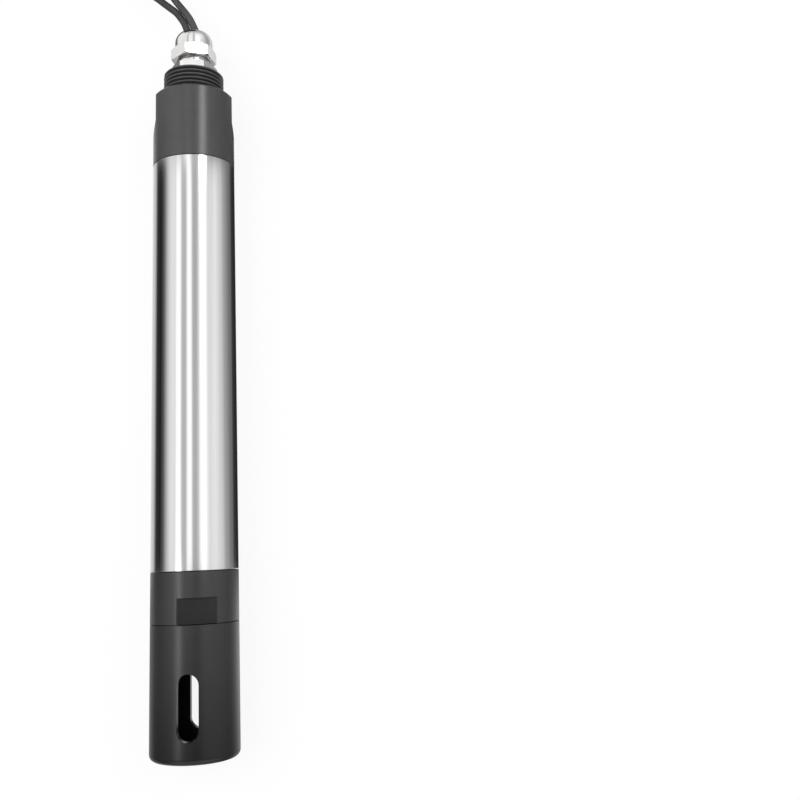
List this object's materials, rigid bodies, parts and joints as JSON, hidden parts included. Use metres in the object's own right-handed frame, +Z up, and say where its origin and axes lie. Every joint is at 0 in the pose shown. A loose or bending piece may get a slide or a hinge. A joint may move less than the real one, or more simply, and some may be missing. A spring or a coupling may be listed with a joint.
{
  "type": "conductivity temperature depth sensor",
  "caption": "Slim steel probe with a black slotted guard over conductivity, temperature and pressure sensors, and a gland with two thin cords.",
  "frame": {"origin": "centre of the bottom of the probe's box as it lies on its side, without its cords", "axes": "+Y along the probe's axis from the sensing end to the cable gland, +Z up, +X across"},
  "size_m": [0.0735, 0.5545, 0.0531],
  "materials": {
    "satin_steel": "satin",
    "bright_nickel": "polished",
    "black_acetal": "satin",
    "grey_resin": "matte",
    "graphite": "matte",
    "black_rubber": "matte",
    "cord_jacket": "satin",
    "board_laminate": "satin",
    "chip_black": "matte",
    "white_nylon": "matte",
    "tinned_copper": "satin",
    "wire_insulation": "satin",
    "strap_nylon": "matte"
  },
  "bodies": {
    "probe": {"housing_tube": "satin_steel", "pressure_cell": "satin_steel", "pressure_diaphragm": "satin_steel", "temperature_pin": "satin_steel", "gland_body": "bright_nickel", "gland_nut": "bright_nickel", "head_cap": "black_acetal", "sensor_collar": "black_acetal", "sensing_block": "grey_resin", "potting_plug": "grey_resin", "electrode_upper": "graphite", "electrode_left": "graphite", "head_oring": "black_rubber", "collar_oring": "black_rubber", "gland_oring": "black_rubber", "gland_seal": "black_rubber", "cell_oring": "black_rubber", "cable_end_sleeve": "black_rubber", "signal_cable_inner": "cord_jacket", "vent_tube_inner": "cord_jacket", "signal_cable": "cord_jacket", "signal_coil": "cord_jacket", "signal_cable_tail": "cord_jacket", "vent_tube": "cord_jacket", "vent_coil": "cord_jacket", "vent_tube_tail": "cord_jacket", "circuit_board": "board_laminate", "processor_chip": "chip_black", "converter_chip": "chip_black", "transceiver_chip": "chip_black", "isolation_transformer": "chip_black", "power_inductor": "chip_black", "board_carrier_front": "white_nylon", "board_carrier_rear": "white_nylon", "sensor_connector": "white_nylon", "cable_terminal": "white_nylon", "vent_line": "white_nylon", "vent_filter": "white_nylon", "filter_capacitor_input": "tinned_copper", "filter_capacitor_output": "tinned_copper", "end_ferrule_power": "tinned_copper", "end_ferrule_ground": "tinned_copper", "end_ferrule_data": "tinned_copper", "cable_core_power": "wire_insulation", "cable_core_ground": "wire_insulation", "cable_core_data": "wire_insulation", "electrode_lead_upper": "wire_insulation", "electrode_lead_left": "wire_insulation", "temperature_lead_signal": "wire_insulation", "temperature_lead_return": "wire_insulation", "end_core_power": "wire_insulation", "end_core_ground": "wire_insulation", "end_core_data": "wire_insulation", "signal_coil_strap_right": "strap_nylon", "signal_coil_strap_left": "strap_nylon", "vent_coil_strap_right": "strap_nylon", "vent_coil_strap_left": "strap_nylon"},
    "guard": {"guard_cap": "black_acetal"}
  },
  "joints": [
    {"name": "guard_unscrew", "type": "slide", "parent": "probe", "child": "guard", "axis": [0, -1, 0], "range_m": [0, 0.045]}
  ]
}
